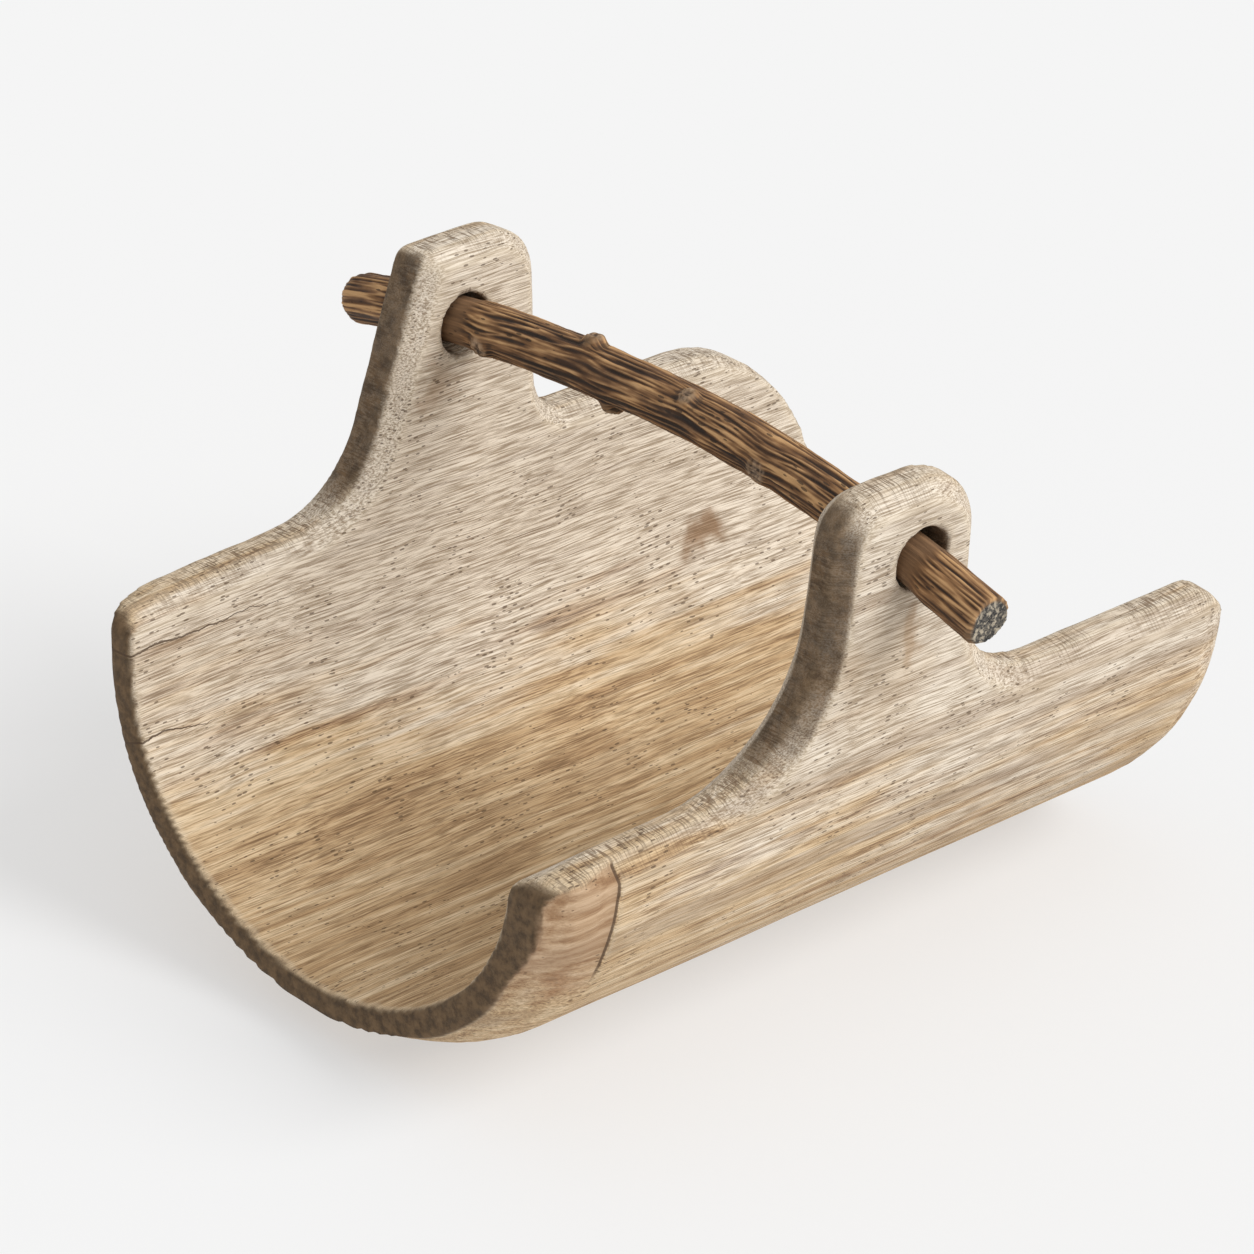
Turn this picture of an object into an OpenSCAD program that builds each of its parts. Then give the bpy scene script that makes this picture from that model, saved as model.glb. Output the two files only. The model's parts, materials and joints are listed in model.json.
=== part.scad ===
// Carrying trough carved from half a log, with a bent stick as its handle.
// The trough is open at both ends. An upright ear on each long side has one
// round hole, and the stick lies loose in the two holes.
// Origin: centre of the flat foot. +Y runs along the trough, +Z is up.

/* [Trough] */
// Length from end to end
trough_len = 480; // [400:5:576]
// Thickness of the carved wall
wall = 31; // [26:0.5:37]
// Outer radius of the arc under the trough
bottom_r = 184; // [155:1:220]
// Half of the angle that the bottom arc spans, in degrees
bottom_angle = 45; // [36:1:54]
// Outer radius of the arcs between the bottom and the sides
flank_r = 141; // [118:1:169]
// How far the straight sides lean outwards, in degrees
side_lean = 4.5; // [3.5:0.1:5.5]
// Width of the flat foot planed along the underside
foot_w = 60; // [48:1:72]
// Bevel on the inside of the left rim and ear
left_inner_bevel = 9; // [7:0.5:11]
// Bevel on the outside of the left rim and ear
left_outer_bevel = 5; // [4:0.5:6]
// Bevel on the inside of the right rim and ear
right_inner_bevel = 9; // [7:0.5:11]
// Bevel on the outside of the right rim and ear
right_outer_bevel = 10; // [8:0.5:12]

/* [Ends] */
// How far the outer face is cut back at the front end
front_cut = 15; // [12.5:0.5:18]
// Length of the cut-back stretch at the front end
front_cut_len = 46; // [38:1:56]
// How far the outer face is cut back at the back end
back_cut = 7; // [5.5:0.5:8.5]
// Length of the cut-back stretch at the back end
back_cut_len = 22; // [18:1:27]

/* [Rims] */
// Height of the left rim at the front end
left_rim_front = 171; // [143:1:190]
// Height of the left rim at the back end
left_rim_back = 196; // [163:1:200]
// Rounding of the left rim's back corner
left_back_corner_r = 86; // [70:1:100]
// Height of the right rim at the front end
right_rim_front = 155; // [130:1:186]
// Height of the right rim at the back end
right_rim_back = 168; // [140:1:200]
// Rounding of the right rim's back corner
right_back_corner_r = 26; // [20:1:32]
// Rounding of both front corners
front_corner_r = 14; // [11:1:17]

/* [Ears] */
// Height of the ears above the holes' axis
ear_over = 41.5; // [37:0.5:50]
// Left ear: from the holes' axis to its front edge, at the rim
left_ear_front = 72; // [60:1:86]
// Left ear: how far its front edge leans back from rim to top
left_ear_rake = 48; // [40:1:52]
// Left ear: from the holes' axis to its back edge
left_ear_back = 54; // [48:1:65]
// Right ear: from the holes' axis to its front edge
right_ear_front = 55; // [50:1:66]
// Right ear: from the holes' axis to its back edge, at the rim
right_ear_back = 51; // [46:1:61]
// Right ear: how far its back edge leans forward from rim to top
right_ear_back_rake = 10; // [6:1:12]
// Sweep from the left rim up the front of the ear
left_sweep_r = 64; // [53:1:77]
// Sweep from the right rim up the front of the ear
right_sweep_r = 78; // [65:1:94]
// Fillet behind the left ear
left_fillet_r = 22; // [18:1:27]
// Fillet behind the right ear
right_fillet_r = 65; // [54:1:78]
// Rounding of the left ear's front top corner
left_top_front_r = 10; // [9:0.5:12]
// Rounding of the left ear's back top corner
left_top_back_r = 30; // [25:1:36]
// Rounding of the right ear's front top corner
right_top_front_r = 25; // [21:1:30]
// Rounding of the right ear's back top corner
right_top_back_r = 44; // [37:1:50]

/* [Holes] */
// How much larger the radius of each hole is than the stick's
hole_play = 4; // [3.8:0.1:5]
// Height of the holes' axis
hole_z = 266.5; // [240:0.5:320]
// Place of the holes' axis along the trough
hole_y = -10; // [-30:1:30]

/* [Stick] */
// Radius of the stick where it passes through the ears
stick_r = 13; // [11:0.1:15.6]
// Rise of the stick's middle above its seats
stick_bow = 15; // [12:0.5:18]
// How far the stick stands out beyond the left ear
stub_left = 56; // [47:1:67]
// How far the stick stands out beyond the right ear
stub_right = 46; // [38:1:55]
// Bark left on the stick away from the ears
bark = 0.6; // [0.4:0.1:1]
// Sideways sway of the stick between the ears
stick_sway = 1.5; // [0:0.1:2]
// Gap between the stick and the edge of the hole that it lies on
seat_gap = 0.3; // [0.2:0.05:0.5]

/* [Hidden] */

arc_steps = 10;          // points along each rounded corner of a side
section_steps = 9;       // points along each arc of the section
stick_sides = 20;        // points round the stick
stick_ring_gap = 12;     // distance between the stick's rings
least_r = 0.5;           // least radius of a rounded corner
past = 20;               // how far a cutter runs past what it cuts
front_cut_power = 1.4;   // how the cut-back deepens towards the front end
back_cut_power = 1.8;    // and towards the back end
end_margin = 6;          // the blank's overlength at each end

half_len = trough_len / 2;
hole_r = stick_r + hole_play;
ear_top = hole_z + ear_over;
foot_drop = bottom_r - sqrt(pow(bottom_r, 2) - pow(foot_w / 2, 2));

// Centres of the section's arcs, with the foot at height 0
bottom_centre = [0, bottom_r - foot_drop];
flank_centre = bottom_centre + (bottom_r - flank_r) * [sin(bottom_angle), -cos(bottom_angle)];
side_start = flank_centre + flank_r * [cos(side_lean), -sin(side_lean)];

function clamp01(t) = max(0, min(1, t));
function unit(v) = v / norm(v);

// Half-width of the section at height z, on the straight side; inset moves it into the wall
function side_x(z, inset = 0) =
    side_start[0] + (z - side_start[1]) * tan(side_lean) - inset / cos(side_lean);

// Right half of the section, from the bottom to the given height
function half_section(inset, top) = concat(
    [for (i = [0 : section_steps - 1]) let (a = bottom_angle * i / section_steps)
        bottom_centre + (bottom_r - inset) * [sin(a), -cos(a)]],
    [for (i = [0 : section_steps]) let (a = bottom_angle + (90 - side_lean - bottom_angle) * i / section_steps)
        flank_centre + (flank_r - inset) * [sin(a), -cos(a)]],
    [[side_x(top, inset), top]]);

function whole_section(inset, top) =
    let (right = half_section(inset, top), last = len(right) - 1)
    concat([for (i = [last : -1 : 1]) [-right[i][0], right[i][1]]], right);

// Arc that rounds corner b, which lies between corners a and c; b[2] is its radius
function corner_arc(a, b, c) =
    let (
        tip = [b[0], b[1]],
        to_a = unit([a[0], a[1]] - tip),
        to_c = unit([c[0], c[1]] - tip),
        half = acos(to_a * to_c) / 2,
        centre = tip + unit(to_a + to_c) * b[2] / sin(half),
        from = tip + to_a * b[2] / tan(half) - centre,
        turn = sign(to_a[0] * to_c[1] - to_a[1] * to_c[0]) * (2 * half - 180)
    )
    b[2] == 0 ? [tip] : [for (i = [0 : arc_steps]) let (t = turn * i / arc_steps)
        centre + [from[0] * cos(t) - from[1] * sin(t), from[0] * sin(t) + from[1] * cos(t)]];

function rounded(corners) =
    let (n = len(corners))
    [for (i = [0 : n - 1]) each corner_arc(corners[(i + n - 1) % n], corners[i], corners[(i + 1) % n])];

// Corners of one side seen square on, [along, up, radius]; inset is the bevel's depth there.
// side = [rim front, rim back, ear front, front rake, ear back, sweep, fillet,
//         top front corner, top back corner, back corner, back rake, inner bevel, outer bevel]
function side_corners(side, inset) =
    let (
        front = hole_y - side[2],
        back = hole_y + side[4],
        rise = (side[1] - side[0]) / trough_len,
        rim_at_front = side[0] + rise * (front + half_len),
        top = ear_top - inset,
        room = ear_top - max(rim_at_front, side[1]),
        ear_w = back - front - side[3] - side[10],
        top_front_r = min(side[7], ear_w * 0.3),
        top_back_r = min(side[8], ear_w * 0.6),
        sweep_r = min(side[5], room - top_front_r),
        fillet_r = min(side[6], room - top_back_r)
    )
    [
        [hole_y, -past, 0],
        [-half_len, -past, 0],
        [-half_len, side[0] - inset, max(front_corner_r - inset, least_r)],
        [front + inset, rim_at_front - inset, sweep_r + inset],
        [front + side[3] + inset, top, max(top_front_r - inset, least_r)],
        [back - side[10] - inset, top, max(top_back_r - inset, least_r)],
        [back - inset, side[1] - inset, fillet_r + inset],
        [half_len, side[1] - inset, max(side[9] - inset, least_r)],
        [half_len, -past, 0]
    ];

left_side = [left_rim_front, left_rim_back, left_ear_front, left_ear_rake, left_ear_back, left_sweep_r,
    left_fillet_r, left_top_front_r, left_top_back_r, left_back_corner_r, 0, left_inner_bevel, left_outer_bevel];
right_side = [right_rim_front, right_rim_back, right_ear_front, 0, right_ear_back, right_sweep_r,
    right_fillet_r, right_top_front_r, right_top_back_r, right_back_corner_r, right_ear_back_rake,
    right_inner_bevel, right_outer_bevel];

// Closed solid through rings that have the same number of points.
// Seen from the first ring, looking towards the last, each ring runs anticlockwise.
// The caps fan out from each ring's first point, so that point sees all of its ring.
module loft(rings) {
    n = len(rings[0]);
    last = len(rings) - 1;
    walls = [for (i = [0 : last - 1], j = [0 : n - 1])
        let (a = i * n + j, b = i * n + (j + 1) % n)
        each [[a, b, b + n], [a, b + n, a + n]]];
    first_cap = concat([0], [for (j = [n - 1 : -1 : 1]) j]);
    last_cap = [for (j = [0 : n - 1]) last * n + j];
    polyhedron([for (ring = rings) each ring], concat(walls, [first_cap, last_cap]), convexity = 6);
}

// How far the outer face is cut back at the place y along the trough
function end_cut(y) =
    let (
        front = max(0, (-half_len + front_cut_len - y) / front_cut_len),
        back = max(0, (y - half_len + back_cut_len) / back_cut_len)
    )
    front_cut * pow(front, front_cut_power) + back_cut * pow(back, back_cut_power);

// The log's outside: the section along Y, drawn in towards both ends
module blank() {
    stations = [
        -half_len - end_margin,
        for (share = [0.35, 0.7, 1]) -half_len + front_cut_len * share,
        for (share = [1, 0.45]) half_len - back_cut_len * share,
        half_len + end_margin
    ];
    loft([for (y = stations) [for (p = whole_section(end_cut(y), ear_top + past)) [p[0], y, p[1]]]]);
}

// The hollow, open at the top and at both ends
module hollow() {
    translate([0, half_len + past, 0]) rotate([90, 0, 0])
        linear_extrude(trough_len + 2 * past) polygon(whole_section(wall, ear_top + 2 * past));
}

// Everything under one side's outline, from outside that side to just past the middle.
// The rings lie parallel to the leaning side, from inside to outside, and the last four make
// the bevels.
module side_keep(side) {
    foot_x = side_x(0);
    inner = side[11];
    outer = side[12];
    depths = [foot_x + past, wall + 1, wall - inner, outer, -1];
    insets = [inner + 1, inner + 1, 0, 0, outer + 1];
    loft([for (i = [0 : len(depths) - 1])
        [for (p = rounded(side_corners(side, insets[i])))
            [foot_x + p[1] * sin(side_lean) - depths[i] * cos(side_lean),
             p[0],
             p[1] * cos(side_lean) + depths[i] * sin(side_lean)]]]);
}

// A cylinder along X through both ears
module ear_bore() {
    reach = side_x(ear_top) + past;
    translate([-reach, hole_y, hole_z]) rotate([0, 90, 0]) cylinder(r = hole_r, h = 2 * reach, $fn = 96);
}

module trough() {
    color("burlywood") difference() {
        intersection() {
            blank();
            union() {
                side_keep(right_side);
                mirror([1, 0, 0]) side_keep(left_side);
            }
        }
        hollow();
        ear_bore();
        translate([-bottom_r, -trough_len, -2 * past]) cube([2 * bottom_r, 2 * trough_len, 2 * past]);
    }
}

// The stick follows a parabola through the middle of both ears
hole_floor = hole_z - hole_r;
ear_mid_x = (side_x(hole_floor) + side_x(hole_floor, wall)) / 2;
ear_half = side_x(hole_floor) - ear_mid_x;
bow_k = stick_bow / pow(ear_mid_x, 2);
function bow_slope(x) = atan(-2 * bow_k * x);
seat_slope = abs(bow_slope(ear_mid_x));
// Axis that the stick turns about: it lies on the outer edge of each hole, seat_gap above it
turn_z = hole_floor + seat_gap + stick_r / cos(seat_slope) + bow_k * (2 * ear_mid_x + ear_half) * ear_half;
stick_left = -side_x(turn_z) - stub_left;
stick_right = side_x(turn_z) + stub_right;

journal_len = 2 * ear_half + 6;   // whittled length in each ear
journal_run = 14;                 // distance over which the bark comes back
end_round = 7;                    // length of the rounded ends

// 0 in the ears, 1 where the stick keeps its bark
function bark_share(x) = clamp01((abs(abs(x) - ear_mid_x) - journal_len / 2) / journal_run);
function stick_centre(x) = [
    x,
    hole_y + stick_sway * sin(x * 1.3) * bark_share(x),
    turn_z + stick_bow - bow_k * x * x
];
function stick_radius(x) =
    stick_r - 0.3 + bark_share(x) * (bark + 0.3 + bark * sin(x * 2.4 + 40) * 0.5);
function stick_ring(x, share = 1) =
    let (centre = stick_centre(x), r = stick_radius(x) * share, slope = bow_slope(x))
    [for (i = [0 : stick_sides - 1]) let (a = -360 * i / stick_sides)
        centre + r * [-sin(slope) * sin(a), cos(a), cos(slope) * sin(a)]];

// Stubs of side twigs: [place along the stick, angle round it, radius, how far it stands out]
knots = [
    [-126, 200, 8, 3],
    [-54, 85, 6, 5],
    [-36, 260, 6, 5],
    [20, 120, 7, 4],
    [76, 190, 8, 2]
];

module knot(x, angle, r, proud) {
    translate(stick_centre(x) + (stick_radius(x) + proud - r) * [0, cos(angle), sin(angle)])
        sphere(r = r, $fn = 32);
}

// The smooth round stretch that lies in one ear
module journal(x) {
    translate(stick_centre(x)) rotate([0, 90 - bow_slope(x), 0])
        cylinder(r = stick_r, h = journal_len, center = true, $fn = 64);
}

module stick_handle() {
    inner_left = stick_left + end_round;
    inner_right = stick_right - end_round;
    rings = ceil((inner_right - inner_left) / stick_ring_gap);
    color("sienna") union() {
        loft(concat(
            [stick_ring(stick_left, 0.62), stick_ring(stick_left + end_round / 3, 0.86)],
            [for (i = [0 : rings]) stick_ring(inner_left + (inner_right - inner_left) * i / rings)],
            [stick_ring(stick_right - end_round / 4, 0.98), stick_ring(stick_right, 0.84)]
        ));
        journal(-ear_mid_x);
        journal(ear_mid_x);
        for (k = knots) knot(k[0], k[1], k[2], k[3]);
    }
}

trough();
stick_handle();
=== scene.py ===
"""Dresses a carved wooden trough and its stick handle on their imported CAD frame.

The trough is one piece of wood: a wall bent round a log's section, with an ear on each long side.
The stick is a debarked branch that lies loose in the two ears. Both pieces stand for their CAD
nodes and ride on the nodes' bodies.
"""

import json
import logging
import math
from dataclasses import dataclass, field
from enum import Enum
from typing import Any, Iterable, Optional, Sequence, Union

import bpy
import numpy as np
from mathutils import Matrix, Vector, noise

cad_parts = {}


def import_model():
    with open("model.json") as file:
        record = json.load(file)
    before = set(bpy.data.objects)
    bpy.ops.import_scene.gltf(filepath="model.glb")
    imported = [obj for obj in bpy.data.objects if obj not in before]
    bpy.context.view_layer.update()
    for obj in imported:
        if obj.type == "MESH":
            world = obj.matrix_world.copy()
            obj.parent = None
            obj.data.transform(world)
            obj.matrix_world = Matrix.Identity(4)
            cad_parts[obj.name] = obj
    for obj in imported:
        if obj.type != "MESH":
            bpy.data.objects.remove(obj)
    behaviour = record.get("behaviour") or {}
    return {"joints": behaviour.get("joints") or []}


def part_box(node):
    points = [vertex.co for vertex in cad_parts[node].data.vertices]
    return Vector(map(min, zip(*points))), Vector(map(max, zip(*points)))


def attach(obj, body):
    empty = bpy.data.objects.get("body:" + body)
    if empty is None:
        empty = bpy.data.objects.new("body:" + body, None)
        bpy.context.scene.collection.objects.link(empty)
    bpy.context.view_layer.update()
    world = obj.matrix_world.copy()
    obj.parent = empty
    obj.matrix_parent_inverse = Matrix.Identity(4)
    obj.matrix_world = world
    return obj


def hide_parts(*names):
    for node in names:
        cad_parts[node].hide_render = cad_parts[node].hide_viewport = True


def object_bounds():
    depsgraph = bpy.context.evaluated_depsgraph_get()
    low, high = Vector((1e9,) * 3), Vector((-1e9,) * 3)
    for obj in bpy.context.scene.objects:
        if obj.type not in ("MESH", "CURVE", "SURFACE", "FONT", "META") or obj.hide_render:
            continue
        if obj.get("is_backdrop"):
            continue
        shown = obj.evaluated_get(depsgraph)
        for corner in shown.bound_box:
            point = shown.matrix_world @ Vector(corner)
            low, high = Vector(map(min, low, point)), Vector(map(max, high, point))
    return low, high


log = logging.getLogger("trough")

Colour = tuple[float, float, float]
Socket = bpy.types.NodeSocket
MM = 0.001


class Body(Enum):
    """The bodies that the pieces ride on."""

    TROUGH = "trough"
    STICK = "stick"


class Slot(Enum):
    """The record's material slots."""

    TROUGH = "pale_carved_wood"
    STICK = "brown_stick_wood"


class Mask(Enum):
    """What is written on a mesh for its material to read, one number or vector a point."""

    INSIDE = "inside"
    CUT_FACE = "cut_face"
    END_GRAIN = "end_grain"
    CONVEX = "convex"
    GIRTH = "girth"
    STROKES = "strokes"
    RELIEF = "relief"
    WHITTLED = "whittled"
    KNOT = "knot"
    STRAIGHT = "straight"
    SHADED = "shaded"
    FACET = "facet"


# ---------------------------------------------------------------------------------------------
# Small helpers for meshes
# ---------------------------------------------------------------------------------------------


def smooth_step(low: float, high: float, value: np.ndarray) -> np.ndarray:
    """Eases from 0 at low to 1 at high.

    Args:
        low: Where the step starts.
        high: Where it ends; it may be the smaller one.
        value: The values to ease.

    Returns:
        The eased values, from 0 to 1.
    """
    t = np.clip((value - low) / (high - low), 0.0, 1.0)
    return t * t * (3.0 - 2.0 * t)


def perlin(points: np.ndarray, frequency: Sequence[float], seed: float, octaves: int = 1) -> np.ndarray:
    """Smooth noise at each point, from about -1 to 1.

    Args:
        points: The points, in metres.
        frequency: How many bumps there are to the metre along each axis.
        seed: Moves the pattern, so that two uses differ.
        octaves: How many finer layers are added up.

    Returns:
        One value for each point.
    """
    scaled = points * np.asarray(frequency) + seed
    total = np.zeros(len(points))
    weight = 1.0
    for octave in range(octaves):
        layer = scaled * (2.0**octave) + 17.3 * octave
        total += weight * np.array([noise.noise(Vector(p)) for p in layer.tolist()])
        weight *= 0.5
    return total


def deselect_all() -> None:
    """Leaves nothing selected, in object mode."""
    if bpy.context.object is not None and bpy.context.object.mode != "OBJECT":
        bpy.ops.object.mode_set(mode="OBJECT")
    bpy.ops.object.select_all(action="DESELECT")


def activate(piece: bpy.types.Object) -> None:
    """Makes a piece the only one selected, and the active one."""
    deselect_all()
    piece.select_set(True)
    bpy.context.view_layer.objects.active = piece


def apply_modifier(piece: bpy.types.Object, kind: str, **settings: Any) -> None:
    """Adds a modifier to a piece and applies it.

    Args:
        piece: The piece.
        kind: The modifier's type.
        **settings: The modifier's own settings.
    """
    activate(piece)
    modifier = piece.modifiers.new(kind.lower(), kind)
    for name, value in settings.items():
        setattr(modifier, name, value)
    bpy.ops.object.modifier_apply(modifier=modifier.name)


def read_points(mesh: bpy.types.Mesh) -> np.ndarray:
    """The places of a mesh's points, one row each."""
    flat = np.empty(len(mesh.vertices) * 3, np.float32)
    mesh.vertices.foreach_get("co", flat)
    return flat.reshape(-1, 3).astype(float)


def read_normals(mesh: bpy.types.Mesh) -> np.ndarray:
    """The normals at a mesh's points, one row each."""
    flat = np.empty(len(mesh.vertices) * 3, np.float32)
    mesh.vertex_normals.foreach_get("vector", flat)
    return flat.reshape(-1, 3).astype(float)


def read_edges(mesh: bpy.types.Mesh) -> np.ndarray:
    """The two points of each edge of a mesh."""
    flat = np.empty(len(mesh.edges) * 2, np.int32)
    mesh.edges.foreach_get("vertices", flat)
    return flat.reshape(-1, 2)


def write_points(mesh: bpy.types.Mesh, points: np.ndarray) -> None:
    """Moves a mesh's points to new places."""
    mesh.vertices.foreach_set("co", points.astype(np.float32).ravel())
    mesh.update()


def write_mask(mesh: bpy.types.Mesh, mask: Mask, values: np.ndarray) -> None:
    """Stores one number or one vector for each point of a mesh.

    Args:
        mesh: The mesh.
        mask: The name to store it under.
        values: One number a point, or one row of three.
    """
    vector = values.ndim == 2
    layer = mesh.attributes.new(mask.value, "FLOAT_VECTOR" if vector else "FLOAT", "POINT")
    layer.data.foreach_set("vector" if vector else "value", values.astype(np.float32).ravel())


def relaxed(values: np.ndarray, edges: np.ndarray, rounds: int) -> np.ndarray:
    """Values averaged with their neighbours' along the edges.

    Args:
        values: One row a point.
        edges: The two points of each edge.
        rounds: How often it is done.

    Returns:
        The averaged values.
    """
    count = np.bincount(edges.ravel(), minlength=len(values)).astype(float)
    result = values.astype(float).reshape(len(values), -1)
    for _ in range(rounds):
        total = np.zeros_like(result)
        for column in range(result.shape[1]):
            total[:, column] = np.bincount(
                edges[:, 0], result[edges[:, 1], column], len(values)
            ) + np.bincount(edges[:, 1], result[edges[:, 0], column], len(values))
        result = 0.5 * result + 0.5 * total / count[:, None]
    return result.reshape(values.shape)


def convexity(mesh: bpy.types.Mesh, rounds: int, scale: float) -> np.ndarray:
    """How far each point stands out from its surroundings.

    Args:
        mesh: The mesh.
        rounds: How wide the surroundings are, in rounds of averaging.
        scale: The height that counts as 1, in metres.

    Returns:
        From -1 in a groove to 1 on an edge.
    """
    points = read_points(mesh)
    average = relaxed(points, read_edges(mesh), rounds)
    height = np.einsum("ij,ij->i", points - average, read_normals(mesh))
    return np.clip(height / scale, -1.0, 1.0)


# ---------------------------------------------------------------------------------------------
# Small helpers for materials
# ---------------------------------------------------------------------------------------------


class NodeGraph:
    """Adds nodes to one node tree and joins them."""

    def __init__(self, tree: bpy.types.NodeTree) -> None:
        """Keeps the tree that nodes are added to."""
        self.tree = tree

    def add(self, kind: str, inputs: Optional[dict[Union[str, int], Any]] = None, **settings: Any) -> bpy.types.Node:
        """Adds one node.

        Args:
            kind: The node's type.
            inputs: For each input, by name or number, a socket to join or a value to set.
            **settings: The node's own settings.

        Returns:
            The node.
        """
        node = self.tree.nodes.new(kind)
        for name, value in settings.items():
            setattr(node, name, value)
        for name, value in (inputs or {}).items():
            if isinstance(value, bpy.types.NodeSocket):
                self.tree.links.new(value, node.inputs[name])
            else:
                node.inputs[name].default_value = value
        return node

    def math(self, operation: str, first: Any, second: Any = 0.0, clamp: bool = False) -> Socket:
        """One Math node's result."""
        return self.add("ShaderNodeMath", {0: first, 1: second}, operation=operation, use_clamp=clamp).outputs[0]

    def times(self, first: Any, second: Any) -> Socket:
        """The product of two numbers."""
        return self.math("MULTIPLY", first, second)

    def plus(self, first: Any, second: Any) -> Socket:
        """The sum of two numbers."""
        return self.math("ADD", first, second)

    def minus(self, first: Any, second: Any) -> Socket:
        """The first number less the second."""
        return self.math("SUBTRACT", first, second)

    def length(self, vector: Socket) -> Socket:
        """A vector's length."""
        node = self.add("ShaderNodeVectorMath", {0: vector}, operation="LENGTH")
        return node.outputs["Value"]

    def vector_math(self, operation: str, first: Any, second: Any) -> Socket:
        """One Vector Math node's vector."""
        return self.add("ShaderNodeVectorMath", {0: first, 1: second}, operation=operation).outputs["Vector"]

    def wobble(self, vector: Any, scale: float, detail: float, reach: Colour) -> Socket:
        """A small push this way and that, which stirs a pattern.

        Args:
            vector: Where it is read.
            scale: Bumps to the metre.
            detail: How many finer layers it has.
            reach: How far it pushes along each axis.

        Returns:
            The push.
        """
        node = self.add("ShaderNodeTexNoise", {"Vector": vector, "Scale": scale, "Detail": detail})
        centred = self.vector_math("SUBTRACT", node.outputs["Color"], (0.5, 0.5, 0.5))
        return self.vector_math("MULTIPLY", centred, reach)

    def noise(
        self, vector: Any, scale: Any, detail: float = 2.0, roughness: float = 0.5, distortion: float = 0.0
    ) -> Socket:
        """One Noise Texture's value.

        Args:
            vector: Where it is read.
            scale: Bumps to the metre.
            detail: How many finer layers it has.
            roughness: How strong those are.
            distortion: How much it is stirred.

        Returns:
            The value, around 0.5.
        """
        return self.add(
            "ShaderNodeTexNoise",
            {"Vector": vector, "Scale": scale, "Detail": detail, "Roughness": roughness, "Distortion": distortion},
        ).outputs["Fac"]

    def step(self, value: Any, low: float, high: float, to_low: float = 0.0, to_high: float = 1.0) -> Socket:
        """Maps a value's range smoothly to another one.

        Args:
            value: The value.
            low: Where the range starts.
            high: Where it ends.
            to_low: What low becomes.
            to_high: What high becomes.

        Returns:
            The mapped value.
        """
        return self.add(
            "ShaderNodeMapRange",
            {"Value": value, "From Min": low, "From Max": high, "To Min": to_low, "To Max": to_high},
            interpolation_type="SMOOTHSTEP",
        ).outputs["Result"]

    def ramp(self, value: Any, stops: Iterable[tuple[float, Colour]]) -> Socket:
        """A colour ramp.

        Args:
            value: Where it is read, from 0 to 1.
            stops: The place and the colour of each stop.

        Returns:
            The colour.
        """
        node = self.add("ShaderNodeValToRGB", {"Fac": value})
        elements = node.color_ramp.elements
        stops = list(stops)
        while len(elements) < len(stops):
            elements.new(0.5)
        for element, (place, colour) in zip(elements, stops):
            element.position = place
            element.color = (*colour, 1.0)
        return node.outputs["Color"]

    def blend(self, share: Any, below: Any, above: Any, how: str = "MIX") -> Socket:
        """Lays one colour over another.

        Args:
            share: How much of the upper one shows.
            below: The lower colour or its socket.
            above: The upper colour or its socket.
            how: The way they are mixed.

        Returns:
            The mixed colour.
        """
        node = self.tree.nodes.new("ShaderNodeMix")
        node.data_type = "RGBA"
        node.blend_type = how
        for socket, value in ((node.inputs[0], share), (node.inputs[6], below), (node.inputs[7], above)):
            if isinstance(value, bpy.types.NodeSocket):
                self.tree.links.new(value, socket)
            elif isinstance(value, tuple):
                socket.default_value = (*value, 1.0)
            else:
                socket.default_value = value
        return node.outputs[2]

    def mask(self, name: Mask, vector: bool = False) -> Socket:
        """What a mesh stores under a mask's name."""
        node = self.add("ShaderNodeAttribute", attribute_name=name.value)
        return node.outputs["Vector" if vector else "Fac"]


def new_group(
    name: str, inputs: dict[str, tuple[str, Any]], outputs: Sequence[str]
) -> tuple[bpy.types.ShaderNodeTree, NodeGraph, bpy.types.Node, bpy.types.Node]:
    """An empty shader node group.

    Args:
        name: The group's name.
        inputs: Each input's kind, Float or Vector, and its value.
        outputs: The names of the outputs, which are all numbers.

    Returns:
        The group, a graph to fill it with, and its input and output nodes.
    """
    group = bpy.data.node_groups.new(name, "ShaderNodeTree")
    for label, (kind, value) in inputs.items():
        socket = group.interface.new_socket(label, in_out="INPUT", socket_type=f"NodeSocket{kind}")
        socket.default_value = value
    for label in outputs:
        group.interface.new_socket(label, in_out="OUTPUT", socket_type="NodeSocketFloat")
    graph = NodeGraph(group)
    return group, graph, graph.add("NodeGroupInput"), graph.add("NodeGroupOutput")


def new_material(name: str) -> tuple[bpy.types.Material, NodeGraph]:
    """An empty material.

    Args:
        name: The material's name.

    Returns:
        The material and a graph to fill it with.
    """
    material = bpy.data.materials.new(name)
    material.use_nodes = True
    material.node_tree.nodes.clear()
    return material, NodeGraph(material.node_tree)


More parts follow.
